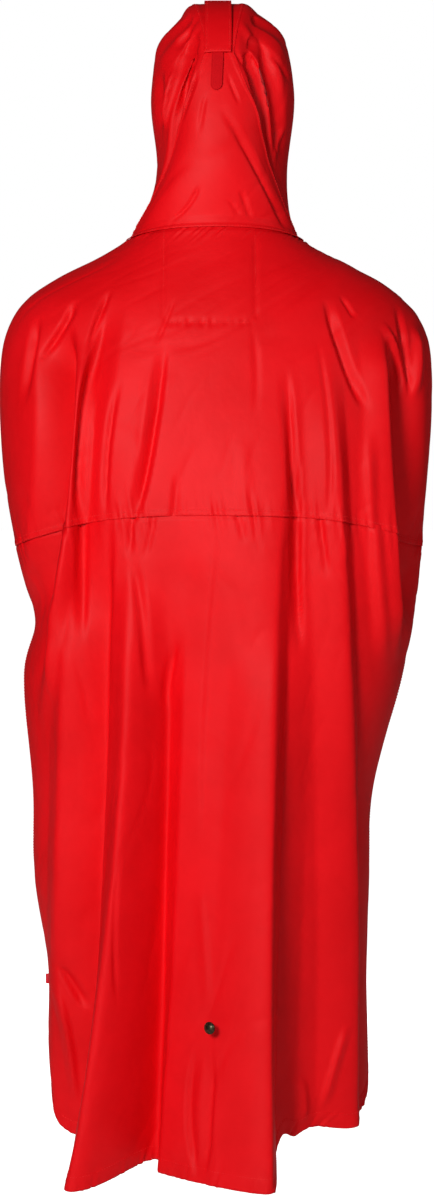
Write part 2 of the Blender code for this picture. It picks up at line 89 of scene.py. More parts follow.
# A fold runs through three points, as they are seen from behind. Its depth is above 0 for a ridge and
# below 0 for a trough, left and right are the reach of its flanks, and crisp goes from 0, rounded, to
# 1, pinched.
Fold = namedtuple("Fold", "name x1 z1 x2 z2 x3 z3 depth1 depth3 left right crisp")
OFF_HEM = -1350  # the z3 of a fold that runs off the cloth at the hem
BACK_FOLDS = in_metres(Fold, 1, 11, (
    ("left arm groove", 189, -100, 188, -280, 222, -490, -36, -36, 46, 12, 0.7),
    ("left side ridge", 168, -120, 176, -320, 222, -620, 12, 16, 16, 14, 0.7),
    ("left shoulder trough", 136, -60, 160, -240, 168, -500, -10, -10, 14, 30, 0.5),
    ("left band", 180, -340, 188, -580, 200, -1080, 12, 14, 24, 50, 0.8),
    ("valley left of A", 134, -300, 146, -660, 196, OFF_HEM, -10, -40, 50, 10, 0.8),
    ("ridge A", 108, -360, 108, -620, 168, OFF_HEM, 10, 90, 30, 48, 0.6),
    ("trough B", 58, -440, 64, -680, 108, OFF_HEM, -8, -52, 44, 20, 0.8),
    ("plateau C", -90, -160, -60, -660, -40, OFF_HEM, 6, 66, 130, 22, 0.6),
    ("plateau foot", -76, -440, -64, -660, -40, OFF_HEM, 8, 34, 60, 56, 0.8),
    ("ridge D", -138, -120, -160, -620, -160, OFF_HEM, 16, 22, 42, 18, 0.8),
    ("right side ridge", -204, -100, -210, -280, -228, -540, 12, 20, 30, 12, 0.7),
    ("right arm groove", -222, -110, -230, -280, -250, -500, -28, -34, 12, 40, 0.6),
))
FRONT_FOLDS = in_metres(Fold, 1, 11, (
    ("left groove", 185, -140, 188, -340, 215, -560, -14, -24, 40, 30, 0.0),
    ("left ridge", 120, -200, 118, -600, 135, OFF_HEM, 6, 40, 40, 50, 0.2),
    ("trough", 30, -300, 26, -700, 20, OFF_HEM, -4, -30, 50, 50, 0.0),
    ("right ridge", -95, -200, -90, -620, -85, OFF_HEM, 6, 44, 50, 40, 0.2),
    ("right groove", -185, -140, -188, -340, -215, -560, -14, -24, 30, 40, 0.0),
))
MAIN_START = 0.16  # share of a main fold's length over which it grows from nothing
MAIN_END = 0.20  # and over which one that ends above the hem dies away
FLANK_BEND = 0.16  # share of a flank that each of its bends takes
FLANK_FREE = 0.25  # main folds die away where the cosine of a ring's angle is smaller than this
STEP = 0.003  # on the count of rings or arches, for slopes


def between_rows(rows, place):
    """The values of a table at a place between its rows, on a smooth curve through them."""
    table = np.array([row[1:] for row in rows])
    place = np.clip(np.asarray(place, dtype=float), 0, len(rows) - 1)
    low = np.minimum(place.astype(int), len(rows) - 2)
    part = (place - low)[..., None]
    slope = np.gradient(table, axis=0)
    values = (
        (2 * part**3 - 3 * part**2 + 1) * table[low]
        + (part**3 - 2 * part**2 + part) * slope[low]
        + (3 * part**2 - 2 * part**3) * table[low + 1]
        + (part**3 - part**2) * slope[low + 1]
    )
    return type(rows[0])("", *np.moveaxis(values, -1, 0))


def signed_power(value, power):
    return np.sign(value) * np.abs(value) ** power


def smooth(value):
    """0 below 0, 1 above 1 and an even curve between them."""
    value = np.clip(value, 0, 1)
    return value * value * (3 - 2 * value)


def unit(vectors):
    return vectors / np.linalg.norm(vectors, axis=-1, keepdims=True)


def plain_body(place, angle):
    """The body without folds. place counts the rings, and angle goes round from the centre back."""
    ring = between_rows(RINGS, place)
    side = signed_power(np.sin(angle), 2 / ring.square)
    depth = signed_power(np.cos(angle), 2 / ring.square)
    x = side * np.where(side > 0, ring.left, ring.right)
    y = ring.side_y + depth * np.where(depth > 0, ring.back_y - ring.side_y, ring.side_y - ring.front_y)
    middle_z = np.where(depth > 0, ring.back_z, ring.front_z)
    for hem_drop in HEM_DROPS:
        nearness = smooth(1 - np.abs(x - hem_drop.x) / hem_drop.reach) * (depth > 0)
        middle_z = middle_z - hem_drop.drop * nearness * smooth(place - RING_INDEX["low slit"])
    side_z = np.where(side > 0, ring.left_z, ring.right_z)
    z = middle_z + (side_z - middle_z) * np.abs(side) ** DROOP
    return np.stack(np.broadcast_arrays(x, y, z), axis=-1)


def outward(surface, place, turn):
    """Unit normals of a surface, worked out from short steps down it and round it."""
    down = surface(place + STEP, turn) - surface(place - STEP, turn)
    round_it = surface(place, turn + STEP) - surface(place, turn - STEP)
    return unit(np.cross(round_it, down))


def pinched(flank):
    """The section of a fold with flat flanks, from 1 at its line to 0 at its foot, with small bends."""
    top = np.minimum(flank, FLANK_BEND) ** 2 / 2 / FLANK_BEND
    middle = np.clip(flank - FLANK_BEND, 0, 1 - 2 * FLANK_BEND)
    foot = np.clip(flank - 1 + FLANK_BEND, 0, FLANK_BEND)
    return 1 - (top + middle + foot - foot**2 / 2 / FLANK_BEND) / (1 - FLANK_BEND)


def fold_height(x, z, folds, start, end):
    """How far the folds push the cloth out at points seen from behind at x and z."""
    height = np.zeros(np.shape(x))
    for fold in folds:
        run = (fold.z1 - z) / (fold.z1 - fold.z3)
        middle = (fold.z1 - fold.z2) / (fold.z1 - fold.z3)
        bow = (fold.x2 - fold.x1 - middle * (fold.x3 - fold.x1)) / (middle * (middle - 1))
        held = np.clip(run, 0, 1)
        path = fold.x1 + held * (fold.x3 - fold.x1) + bow * held * (held - 1)
        depth = fold.depth1 + (fold.depth3 - fold.depth1) * held
        fade = smooth(run / start)
        if fold.z3 > OFF_HEM / 1000:
            fade = fade * smooth((1 - run) / end)
        away = x - path
        flank = np.clip(np.abs(away) / np.where(away > 0, fold.left, fold.right), 0, 1)
        rounded = 0.5 + 0.5 * np.cos(np.pi * flank)
        height += depth * fade * (rounded + fold.crisp * (pinched(flank) - rounded))
    return height


def body(place, angle):
    """The body with its main folds."""
    point = plain_body(place, angle)
    back = smooth(np.cos(angle) / FLANK_FREE)
    front = smooth(-np.cos(angle) / FLANK_FREE)
    height = back * fold_height(point[..., 0], point[..., 2], BACK_FOLDS, MAIN_START, MAIN_END)
    height = height + front * fold_height(point[..., 0], point[..., 2], FRONT_FOLDS, MAIN_START, MAIN_END)
    return point + height[..., None] * outward(plain_body, place, angle)


# ---------------------------------------------------------------------------------------------------
# The cloth: plain-woven polyester, coated outside with a thin film that gives it a soft satin shine,
# and matt inside. It is dyed red, and it keeps fine creases from being packed small.
RED = (0.80, 0.002, 0.006, 1.0)
DEEP_RED = (0.72, 0.001, 0.004, 1.0)
INSIDE_RED = (0.45, 0.012, 0.015, 1.0)
THREAD_PITCH = 0.0009  # of the weave
THREAD_DEPTH = 0.00004
PATCH_SIZE = 0.12  # of the patches where the dye is deeper
WRINKLES = 42.0  # to a metre
WRINKLE_DEPTH = 0.0016
CLOTH_UV = "cut"  # a UV map in metres: across the cloth, then down it


def add_node(tree, kind, **inputs):
    node = tree.nodes.new(kind)
    for name, value in inputs.items():
        node.inputs[name.replace("_", " ")].default_value = value
    return node


def start_material(name, roughness, **sockets):
    """A new material, its node tree and its shader, with the values that are the same all over."""
    made = bpy.data.materials.new(name)
    made.use_nodes = True
    shader = made.node_tree.nodes["Principled BSDF"]
    shader.inputs["Roughness"].default_value = roughness
    for socket, value in sockets.items():
        shader.inputs[socket.replace("_", " ")].default_value = value
    return made, made.node_tree, shader


def weave(tree, pitch):
    """Height of a plain weave: two sets of threads that cross, on the cloth's own UV map."""
    cut = tree.nodes.new("ShaderNodeUVMap")
    cut.uv_map = CLOTH_UV
    both = add_node(tree, "ShaderNodeMath")
    both.operation = "MULTIPLY"
    for index, direction in enumerate("XY"):
        threads = add_node(tree, "ShaderNodeTexWave", Scale=math.pi / 10 / pitch, Distortion=0.6, Detail=1.0)
        threads.bands_direction = direction
        tree.links.new(cut.outputs["UV"], threads.inputs["Vector"])
        tree.links.new(threads.outputs["Fac"], both.inputs[index])
    return both.outputs["Value"]


def bump(tree, height, depth, strength, before=None):
    made = add_node(tree, "ShaderNodeBump", Distance=depth, Strength=strength)
    tree.links.new(height, made.inputs["Height"])
    if before is not None:
        tree.links.new(before, made.inputs["Normal"])
    return made.outputs["Normal"]


def mottled(tree, shader, colour, other, size):
    """Colour that varies a little over patches of a size. Gives back the coordinates that it is laid on."""
    place = tree.nodes.new("ShaderNodeTexCoord").outputs["Object"]
    patches = add_node(tree, "ShaderNodeTexNoise", Scale=1 / size, Detail=4.0, Roughness=0.6)
    tree.links.new(place, patches.inputs["Vector"])
    ramp = tree.nodes.new("ShaderNodeValToRGB")
    ramp.color_ramp.elements[0].position = 0.35
    ramp.color_ramp.elements[0].color = other
    ramp.color_ramp.elements[1].position = 0.65
    ramp.color_ramp.elements[1].color = colour
    tree.links.new(patches.outputs["Fac"], ramp.inputs["Fac"])
    tree.links.new(ramp.outputs["Color"], shader.inputs["Base Color"])
    return place


def make_cloth(name, colour, other, roughness, specular, crumple):
    made, tree, shader = start_material(name, roughness, Specular_IOR_Level=specular)
    place = mottled(tree, shader, colour, other, PATCH_SIZE)
    wrinkles = add_node(tree, "ShaderNodeTexNoise", Scale=WRINKLES, Detail=3.0, Roughness=0.5, Distortion=0.4)
    tree.links.new(place, wrinkles.inputs["Vector"])
    crumpled = bump(tree, wrinkles.outputs["Fac"], WRINKLE_DEPTH, crumple)
    woven = bump(tree, weave(tree, THREAD_PITCH), THREAD_DEPTH, 0.5, crumpled)
    tree.links.new(woven, shader.inputs["Normal"])
    return made


outside = make_cloth("red coated cloth", RED, DEEP_RED, 0.55, 0.15, 0.30)
inside = make_cloth("inside of the cloth", INSIDE_RED, INSIDE_RED, 0.62, 0.25, 0.25)

# ---------------------------------------------------------------------------------------------------
# How a cut piece of the cloth is made: a grid laid on the worn shape, with its creases, and a second
# face inside it. Sewn edges draw the cloth in, so puckers stand along every seam and hem.
CLOTH_THICKNESS = 0.0007
FINE = 481  # points along a ring or an arch from which the even columns are worked out
OPENING_HALF = 0.040  # half the width of the arm openings at their middle
OPENING_POWER = 0.8  # below 1, so the openings are rounder at their ends
SLIT_HALF = 0.012  # half the width of the side slits at the hem
HEM_CORNER = 0.032  # radius of the four lower corners beside the slits
CREASE_FADE = 0.30  # share of a crease's length over which it grows, and over which it dies away
END_ROWS = 0.55  # the rows lie closer together near seams and hems, by this share
PUCKER_LENGTHS = (0.0113, 0.0081, 0.0157)  # along a seam
PUCKER_REACHES = (0.029, 0.017)  # lengths over which they reach farther and less far from it
PUCKER_GROUPS = (0.083, 0.051, 0.131)  # and over which they are stronger and weaker

# edge holds the distances of every point from the four edges of its piece, as it is seen from outside.
Cloth = namedtuple("Cloth", "piece points normals edge")
Edges = namedtuple("Edges", "top bottom right left")


def even_turns(surface, places, first, last, trims, count):
    """For each row, turns from first to last of evenly spaced points, with a trim left off both ends."""
    share = np.linspace(0, 1, FINE)
    fine = first[:, None] + (last - first)[:, None] * share
    point = surface(np.broadcast_to(places[:, None], fine.shape), fine)
    turns = np.zeros((len(places), count))
    for row in range(len(places)):
        run = np.concatenate(([0.0], np.cumsum(np.linalg.norm(np.diff(point[row], axis=0), axis=1))))
        turns[row] = np.interp(np.linspace(trims[row], run[-1] - trims[row], count), run, fine[row])
    return turns


def side_gap(z):
    """Half the gap between the back and the front at a height: sewn, arm opening, sewn, then slit."""
    top, bottom = RINGS[RING_INDEX["arm end"]].left_z, RINGS[RING_INDEX["thigh"]].left_z
    slit, hem = RINGS[RING_INDEX["slit top"]].left_z, RINGS[-1].left_z
    run = np.clip((top - z) / (top - bottom), 0, 1)
    opening = OPENING_HALF * np.sin(math.pi * run) ** OPENING_POWER
    return opening + SLIT_HALF * smooth((slit - z) / (slit - hem))


def close_at_ends(count):
    """Shares from 0 to 1 that lie closer together at both ends."""
    even = np.linspace(0, 1, count)
    return even - END_ROWS * np.sin(2 * np.pi * even) / (2 * np.pi)


def runs(points, axis):
    """Distances along the rows or the columns of a grid of points."""
    steps = np.linalg.norm(np.diff(points, axis=axis), axis=-1)
    first = np.zeros_like(np.take(steps, [0], axis=axis))
    return np.concatenate((first, np.cumsum(steps, axis=axis)), axis=axis)


def edge_distances(points):
    down, across = runs(points, 0), runs(points, 1)
    return Edges(down, down[-1] - down, across, across[:, -1:] - across)


def grid_normals(points):
    return unit(np.cross(np.gradient(points, axis=1), np.gradient(points, axis=0)))


def waves(run, lengths, shift=0.0):
    """An uneven ripple from -1 to 1 along a run."""
    turns = [2 * np.pi * run / length + 1.7 * index + shift for index, length in enumerate(lengths)]
    return sum(np.sin(turn) for turn in turns) / len(lengths)


def puckers(run, away, depth, reach, shift=0.0):
    """Small uneven puckers that stand across a seam and die away from it."""
    strong = smooth(0.5 + 0.9 * waves(run, PUCKER_GROUPS, shift))
    far = reach * (0.6 + 0.8 * smooth(0.5 + waves(run, PUCKER_REACHES, shift)))
    return depth * strong * waves(run, PUCKER_LENGTHS, shift) * np.exp(-((away / far) ** 2))


def to_data(name, mesh):
    data = bpy.data.meshes.new(name)
    mesh.to_mesh(data)
    mesh.free()
    return data


def to_object(data, *finishes):
    """An object with a mesh and its materials, or with a lamp or a camera."""
    for finish in finishes:
        data.materials.append(finish)
    made = bpy.data.objects.new(data.name, data)
    bpy.context.scene.collection.objects.link(made)
    return made


def to_piece(data, *finishes):
    """A smooth piece of the poncho."""
    data.shade_smooth()
    piece = to_object(data, *finishes)
    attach(piece, "root")
    return piece


def stand_up(name, points, finish, thickness):
    """A sheet of cloth on a grid of points, with its size in metres as its UV map."""
    rows, columns = points.shape[:2]
    mesh = bmesh.new()
    bmesh.ops.create_grid(mesh, x_segments=columns - 1, y_segments=rows - 1, size=1.0)
    data = to_data(name, mesh)
    flat = np.empty(len(data.vertices) * 3, np.float32)
    data.vertices.foreach_get("co", flat)
    flat = flat.reshape(-1, 3)
    row = np.rint((flat[:, 1] + 1) / 2 * (rows - 1)).astype(int)
    column = np.rint((flat[:, 0] + 1) / 2 * (columns - 1)).astype(int)
    data.vertices.foreach_set("co", points[row, column].astype(np.float32).ravel())
    cut = np.stack((runs(points, 1), runs(points, 0)), axis=-1)[row, column]
    corners = np.empty(len(data.loops), np.int32)
    data.loops.foreach_get("vertex_index", corners)
    data.uv_layers.new(name=CLOTH_UV)
    data.uv_layers[CLOTH_UV].data.foreach_set("uv", cut[corners].astype(np.float32).ravel())
    data.update()
    piece = to_piece(data, finish, inside)
    shell = piece.modifiers.new("thickness of the cloth", "SOLIDIFY")
    shell.thickness = thickness
    shell.offset = -1.0
    shell.material_offset = 1
    return piece


def body_sheet(first_place, last_place, front, rows, columns):
    """Points of a panel of the body, row by row from the top, with the corners of a hem rounded."""
    places = first_place + (last_place - first_place) * close_at_ends(rows)
    sides = (SIDE_ANGLE, 2 * math.pi - SIDE_ANGLE) if front else (-SIDE_ANGLE, SIDE_ANGLE)
    first, last = (np.full(rows, side) for side in sides)
    inner = np.clip(places, 2 * STEP, len(RINGS) - 1 - 2 * STEP)
    angles = even_turns(body, inner, first, last, side_gap(between_rows(RINGS, inner).left_z), columns)
    places = np.repeat(places[:, None], columns, axis=1)
    if last_place == RING_INDEX["hem"]:
        run = runs(body(places[-1:], angles[-1:]), 1)[0]
        inset = np.clip(HEM_CORNER - np.minimum(run, run[-1] - run), 0, HEM_CORNER)
        rise = HEM_CORNER - np.sqrt(HEM_CORNER**2 - inset**2)
        share = (places - places[0]) / (places[-1] - places[0])
        places = places - share**3 * rise / (RINGS[-2].right_z - RINGS[-1].right_z)
    return body(places, angles)


def finish_cloth(name, node, points, height, finish=outside, thickness=CLOTH_THICKNESS):
    """Raise a grid of points by its creases and make the cloth on it, in the place of a node."""
    raised = points + height[..., None] * grid_normals(points)
    piece = stand_up(name, raised, finish, thickness)
    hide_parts(node)
    return Cloth(piece, raised, grid_normals(raised), edge_distances(raised))


# ---------------------------------------------------------------------------------------------------
# The back yoke: one cut across the shoulders and the upper arms, sewn over the lower panel. The arms
# hang inside it, so creases fall from the shoulders and break over both arms.
LAP = 0.09  # how far the lower panel runs up under the yoke, on the count of rings
LAP_LIFT = 0.0007  # the yoke's turned edge stands this far off the panel
TURNING = 0.009  # width of the turned edge
NECK_TUCK = 0.0012  # the yoke runs in under the hood
TUCK_FADE = 0.006  # and comes out over this distance
NECK_CALM = 0.020  # creases die away this near to the neck seam
NECK_PUCKERS = 0.010  # the puckers stand out most this far below it
FACING = 0.35  # creases die away where the cloth turns from its side, on the slope of its normal
TABLE_ROWS, TABLE_COLUMNS = 97, 89  # of random values, which repeat only beyond the size of any piece
HOLLOW_WIDTH, HOLLOW_LENGTH = 0.055, 0.130  # of the soft hollows between the creases
LINE_SIZES = (0.048, 0.026)  # of the fine broken lines between them
LINE_WIDTH = 0.16  # as a share of their size
# The creases of the back are placed as they are seen in the photo: x and y count its pixels across and
# down. Their depths and the reach of their flanks are in millimetres.
Crease = namedtuple("Crease", "name x1 y1 x2 y2 x3 y3 depth1 depth3 left right crisp")
PHOTO_MIDDLE, PHOTO_LEVEL = 217, 480  # the pixel at which the camera looks straight at x 0 and LEVEL_Z
LEVEL_Z = -0.3
BACK_STEP = 0.001246  # of one pixel, at the back of the body
YOKE_CREASES = in_metres(Crease, 7, 11, (
    ("shoulder stroke", 110, 286, 100, 312, 86, 357, -6, -4, 6, 6, 0.8),
    ("long valley", 105, 318, 89, 400, 82, 540, -9, -15, 13, 7, 0.9),
    ("fine crease", 121, 376, 110, 430, 107, 530, -6, -7, 7, 6, 0.9),
    ("slanted crease", 166, 335, 158, 410, 134, 530, -6, -14, 14, 6, 0.9),
    ("beside the slanted crease", 178, 470, 176, 495, 172, 530, -2, -3, 6, 5, 0.5),
    ("right long crease", 286, 365, 292, 430, 300, 540, -6, -15, 14, 5, 0.9),
    ("right faint line", 316, 335, 325, 390, 326, 530, -3, -3, 5, 5, 0.6),
    ("right slanted crease", 326, 296, 341, 352, 367, 416, -11, -10, 7, 13, 0.9),
    ("right short stroke", 342, 294, 348, 304, 355, 318, -4, -3, 4, 6, 0.8),
    ("right lower ridge", 368, 425, 370, 480, 374, 590, 6, 6, 16, 12, 0.5),
    ("left arm stroke", 36, 312, 30, 348, 22, 406, -10, -4, 10, 7, 0.7),
    ("left sleeve crease", 73, 298, 60, 328, 38, 360, -9, -6, 7, 10, 0.7),
    ("right arm edge", 385, 318, 399, 350, 411, 402, 8, 6, 10, 5, 0.9),
    ("right arm hollow", 401, 300, 408, 350, 412, 402, -9, -6, 7, 6, 0.8),
    ("right arm bulge", 418, 318, 422, 358, 415, 402, 8, 6, 9, 10, 0.3),
    ("beside the pocket", 175, 296, 166, 320, 154, 348, -2, -2, 4, 5, 0.8),
    ("below the pocket", 252, 326, 256, 360, 254, 420, -2, -1, 7, 7, 0.3),
    ("soft left line", 150, 370, 146, 420, 140, 470, 2, 1, 14, 10, 0.3),
    ("soft middle line", 240, 430, 244, 480, 240, 540, 1, 2, 14, 14, 0.2),
))
YOKE_ROWS = 164
YOKE_COLUMNS = 290
POCKET_LEFT = 0.067  # an inner pocket is sewn on below the neck, between these sides
POCKET_RIGHT = -0.048
POCKET_BOTTOM = -0.104
PULL_LENGTHS = (0.0097, 0.0133, 0.0161)  # of the puckers along the pocket's lower stitches
PULL_DEPTH, PULL_REACH = 0.0016, 0.0045
POCKET_SIDE_DEPTH, POCKET_SIDE_REACH = 0.0011, 0.0035  # of the lines along its sides


def facing(points, side):
    """1 where the cloth faces back (side 1) or front (side -1), and 0 where it is turned from there."""
    return smooth(side * grid_normals(points)[..., 1] / FACING)


def on_photo(table, step):
    """Folds in metres, from creases in pixels of the photo of one size."""
    made = []
    for crease in table:
        places = []
        for x, y in ((crease.x1, crease.y1), (crease.x2, crease.y2), (crease.x3, crease.y3)):
            places += [(PHOTO_MIDDLE - x) * step, LEVEL_Z - (y - PHOTO_LEVEL) * step]
        made.append(Fold(crease.name, *places, *crease[7:]))
    return made


def creases(points, folds, side=1):
    height = fold_height(points[..., 0], points[..., 2], folds, CREASE_FADE, CREASE_FADE)
    return height * facing(points, side)


def scatter(across, down, seed):
    """Smooth random values from -1 to 1, one step apart."""
    table = np.random.default_rng(seed).uniform(-1, 1, (TABLE_ROWS, TABLE_COLUMNS))
    column, row = np.floor(across).astype(int), np.floor(down).astype(int)
    part, share = smooth(across - column), smooth(down - row)
    here, beside = column % TABLE_COLUMNS, (column + 1) % TABLE_COLUMNS
    near, far = row % TABLE_ROWS, (row + 1) % TABLE_ROWS
    upper = table[near, here] * (1 - part) + table[near, beside] * part
    lower = table[far, here] * (1 - part) + table[far, beside] * part
    return upper * (1 - share) + lower * share


def slack(edge, depth, seed):
    """The unevenness of hanging cloth between its creases: soft hollows and fine broken lines."""
    across, down = edge.left, edge.top
    height = depth * scatter(across / HOLLOW_WIDTH, down / HOLLOW_LENGTH, seed)
    for index, size in enumerate(LINE_SIZES):
        lines = scatter((across + 0.25 * down) / size, down / size / 2.4, seed + 1 + index)
        strong = smooth(0.4 + scatter(across / size / 2, down / size / 3, seed + 5 + index))
        height -= depth * size / LINE_SIZES[0] * strong * np.exp(-((lines / LINE_WIDTH) ** 2))
    return height


def pocket_pull(points):
    """Small puckers along the inner pocket's lower stitches, and a shallow line along both its sides."""
    x, z = points[..., 0], points[..., 2]
    between = smooth((POCKET_LEFT - x) / 0.006) * smooth((x - POCKET_RIGHT) / 0.006)
    strong = 0.5 + 0.5 * smooth((x + 0.01) / 0.03)
    pulled = PULL_DEPTH * (waves(x, PULL_LENGTHS) - 0.9)
    height = between * strong * pulled * np.exp(-(((z - POCKET_BOTTOM) / PULL_REACH) ** 2))
    beside = smooth((z - POCKET_BOTTOM) / 0.01) * smooth((0.012 - z) / 0.02)
    for side in (POCKET_LEFT, POCKET_RIGHT):
        height -= POCKET_SIDE_DEPTH * beside * np.exp(-(((x - side) / POCKET_SIDE_REACH) ** 2))
    return height * facing(points, 1)


Pucker = namedtuple("Pucker", "depth reach shift")


def make_yoke(node, points, creased, pulled, at_seam, at_neck):
    """A yoke with puckers at both its seams. Its upper edge is tucked in and its lower one is turned."""
    edge = edge_distances(points)
    height = creased * smooth(edge.top / NECK_CALM) + pulled
    height += puckers(edge.left, edge.bottom, *at_seam)
    height += puckers(edge.left, edge.top - NECK_PUCKERS, *at_neck)
    height -= NECK_TUCK * smooth(2 - edge.top / TUCK_FADE)
    height += LAP_LIFT * smooth(2 * (1 - edge.bottom / TURNING))
    return finish_cloth(node + "_cloth", node, points, height)


seam_ring = RING_INDEX["yoke seam"]
points = body_sheet(0.0, seam_ring, False, YOKE_ROWS, YOKE_COLUMNS)
creased = creases(points, on_photo(YOKE_CREASES, BACK_STEP)) + slack(edge_distances(points), 0.0010, 11)
back_yoke = make_yoke("back_yoke", points, creased, pocket_pull(points), Pucker(0.0032, 0.020, 0.0),
                      Pucker(0.0016, 0.010, 2.0))

# ---------------------------------------------------------------------------------------------------
# The back panel: the long lower cut of the back. It hangs from the yoke in deep folds that open towards
# the hem, and its lower corners are rounded beside the slits.
HEM_WIDTH = 0.020  # of the turned hem
HEM_LIFT = 0.0005
BACK_LAP = LAP * 0.055  # in metres, as the rings are 55 mm apart there
PANEL_CREASES = in_metres(Crease, 7, 11, (
    ("long valley goes on", 84, 490, 84, 560, 82, 650, -10, -5, 14, 6, 0.7),
    ("stroke below the seam", 136, 500, 132, 528, 130, 560, -7, -3, 5, 5, 0.9),
    ("second stroke", 155, 508, 151, 535, 145, 560, -4, -2, 5, 4, 0.8),
    ("third stroke", 234, 508, 240, 524, 244, 545, -3, -2, 5, 4, 0.8),
    ("faint fold", 132, 550, 142, 610, 150, 700, -4, -6, 10, 10, 0.4),
    ("head of trough B", 177, 640, 172, 668, 166, 710, -5, -4, 12, 4, 0.8),
    ("right crease goes on", 299, 490, 298, 560, 302, 660, -12, -8, 13, 5, 0.7),
    ("right short crease", 314, 505, 321, 540, 326, 580, -6, -3, 5, 7, 0.8),
    ("right lower ridge goes on", 370, 470, 378, 560, 388, 680, 7, 6, 18, 12, 0.5),
    ("line on the plateau", 220, 505, 206, 640, 200, 860, 2, 2, 30, 5, 0.4),
    ("line above the cap", 200, 880, 206, 950, 209, 1015, 2, 2, 12, 6, 0.5),
    ("thin line on ridge A", 120, 850, 115, 930, 118, 1010, -3, -3, 4, 4, 0.8),
    ("slit hollow", 52, 975, 68, 998, 84, 1024, -9, -7, 8, 14, 0.6),
    ("slit edge", 50, 985, 62, 1035, 72, 1130, 7, 6, 14, 5, 0.8),
    ("hem wedge left", 198, 1040, 188, 1105, 199, 1186, -4, -8, 4, 14, 0.7),
    ("hem wedge right", 213, 1045, 210, 1110, 202, 1186, -4, -6, 12, 5, 0.6),
    ("right corner line", 350, 1030, 334, 1082, 322, 1125, 5, 4, 5, 12, 0.8),
    ("right hem fold", 300, 1080, 305, 1105, 303, 1135, 3, 5, 12, 8, 0.5),
))
PANEL_ROWS = 186
PANEL_COLUMNS = 258


def turned_hem(edge_distance, width, lift):
    """A turned hem is twice as thick: it stands off the panel, with a step at its upper edge."""
    return lift * smooth(6 * (1 - edge_distance / width))


def make_panel(node, points, creased, lap, at_seam, at_hem):
    """A lower panel, whose upper edge runs in under its yoke, with puckers at both edges and a turned hem."""
    edge = edge_distances(points)
    from_seam = edge.top - lap
    height = creased + puckers(edge.left, from_seam, *at_seam) + puckers(edge.left, edge.bottom, *at_hem)
    height += turned_hem(edge.bottom, HEM_WIDTH, HEM_LIFT)
    height -= (CLOTH_THICKNESS + LAP_LIFT / 2) * smooth(1 - from_seam / TUCK_FADE)
    return finish_cloth(node + "_cloth", node, points, height)


points = body_sheet(seam_ring - LAP, RING_INDEX["hem"], False, PANEL_ROWS, PANEL_COLUMNS)
creased = creases(points, on_photo(PANEL_CREASES, BACK_STEP)) + slack(edge_distances(points), 0.0010, 23)
back_panel = make_panel("back_panel", points, creased, BACK_LAP, Pucker(0.0028, 0.024, 0.0),
                        Pucker(0.0022, 0.016, 1.0))

# ---------------------------------------------------------------------------------------------------
# The front yoke and the front panel: cut and sewn like the back's. The photo doesn't show them, so
# they are plain, with the same kind of folds below the shoulders.
FRONT_CREASES = in_metres(Fold, 1, 11, (
    ("left dart", 175, -130, 200, -190, 222, -260, -6, -6, 10, 14, 0.4),
    ("left crease", 105, -120, 128, -230, 138, -420, -4, -6, 8, 16, 0.6),
    ("left hollow", 60, -150, 66, -260, 82, -440, -3, -8, 12, 22, 0.3),
    ("right hollow", -50, -160, -62, -300, -70, -480, -3, -8, 20, 12, 0.3),
    ("right crease", -118, -110, -136, -220, -150, -400, -5, -6, 14, 8, 0.6),
    ("right dart", -180, -140, -205, -190, -228, -270, -6, -6, 14, 10, 0.4),
    ("left drape", 40, -50, 30, -110, 8, -190, -4, -3, 16, 16, 0.2),
    ("right drape", -50, -52, -36, -120, -10, -210, -4, -3, 16, 16, 0.2),
    ("left valley", 170, -420, 176, -760, 184, OFF_HEM, -4, -12, 20, 18, 0.4),
    ("middle ridge", 70, -520, 64, -800, 60, OFF_HEM, 3, 14, 20, 24, 0.3),
    ("right ridge", -40, -480, -36, -800, -30, OFF_HEM, 3, 12, 24, 20, 0.3),
    ("right valley", -150, -460, -158, -780, -160, OFF_HEM, -4, -12, 18, 20, 0.4),
))
FRONT_COLUMNS = 180
FRONT_YOKE_ROWS = 96
FRONT_PANEL_ROWS = 150
FRONT_LAP = LAP * 0.050

points = body_sheet(0.0, seam_ring, True, FRONT_YOKE_ROWS, FRONT_COLUMNS)
creased = creases(points, FRONT_CREASES, -1) + slack(edge_distances(points), 0.0012, 37)
front_yoke = make_yoke("front_yoke", points, creased, 0.0, Pucker(0.0016, 0.016, 0.7),
                       Pucker(0.0010, 0.010, 2.6))

points = body_sheet(seam_ring - LAP, RING_INDEX["hem"], True, FRONT_PANEL_ROWS, FRONT_COLUMNS)
creased = creases(points, FRONT_CREASES, -1) + slack(edge_distances(points), 0.0012, 53)
front_panel = make_panel("front_panel", points, creased, FRONT_LAP, Pucker(0.0016, 0.020, 0.7),
                         Pucker(0.0018, 0.016, 3.0))

# ---------------------------------------------------------------------------------------------------
# The hood: a centre panel that widens from the strap down to the neck seam, lapped over two side panels
# that are gathered at the strap. It stands as if a head filled it, and its brim is open to the front.
Arch = namedtuple("Arch", "name foot_angle top_y top_z half_width lean square")
ARCHES = (
    Arch("face edge", 160.0, -0.116, 0.278, 0.089, -0.006, 3.0),
    Arch("brow", 143.0, -0.078, 0.305, 0.094, -0.006, 3.8),
    Arch("crown front", 128.0, -0.022, 0.318, 0.096, -0.006, 4.4),
    Arch("crown", 115.0, 0.040, 0.306, 0.096, -0.007, 4.0),
    Arch("strap end", 105.0, 0.084, 0.258, 0.090, -0.007, 3.1),
    Arch("back of head", 98.0, 0.104, 0.178, 0.082, -0.004, 2.6),
    Arch("nape", 93.0, 0.102, 0.095, 0.086, -0.002, 2.3),
    Arch("neck seam", 90.0, 0.092, 0.025, 0.108, 0.000, 2.0),
)
LAST_ARCH = len(ARCHES) - 1
FLARE_HEIGHT = 0.150  # how far above their feet the arches spread or close in
WAIST = 0.13  # share by which the hood is narrower over the neck
WAIST_TOP = 0.095
WAIST_FADE = 0.110
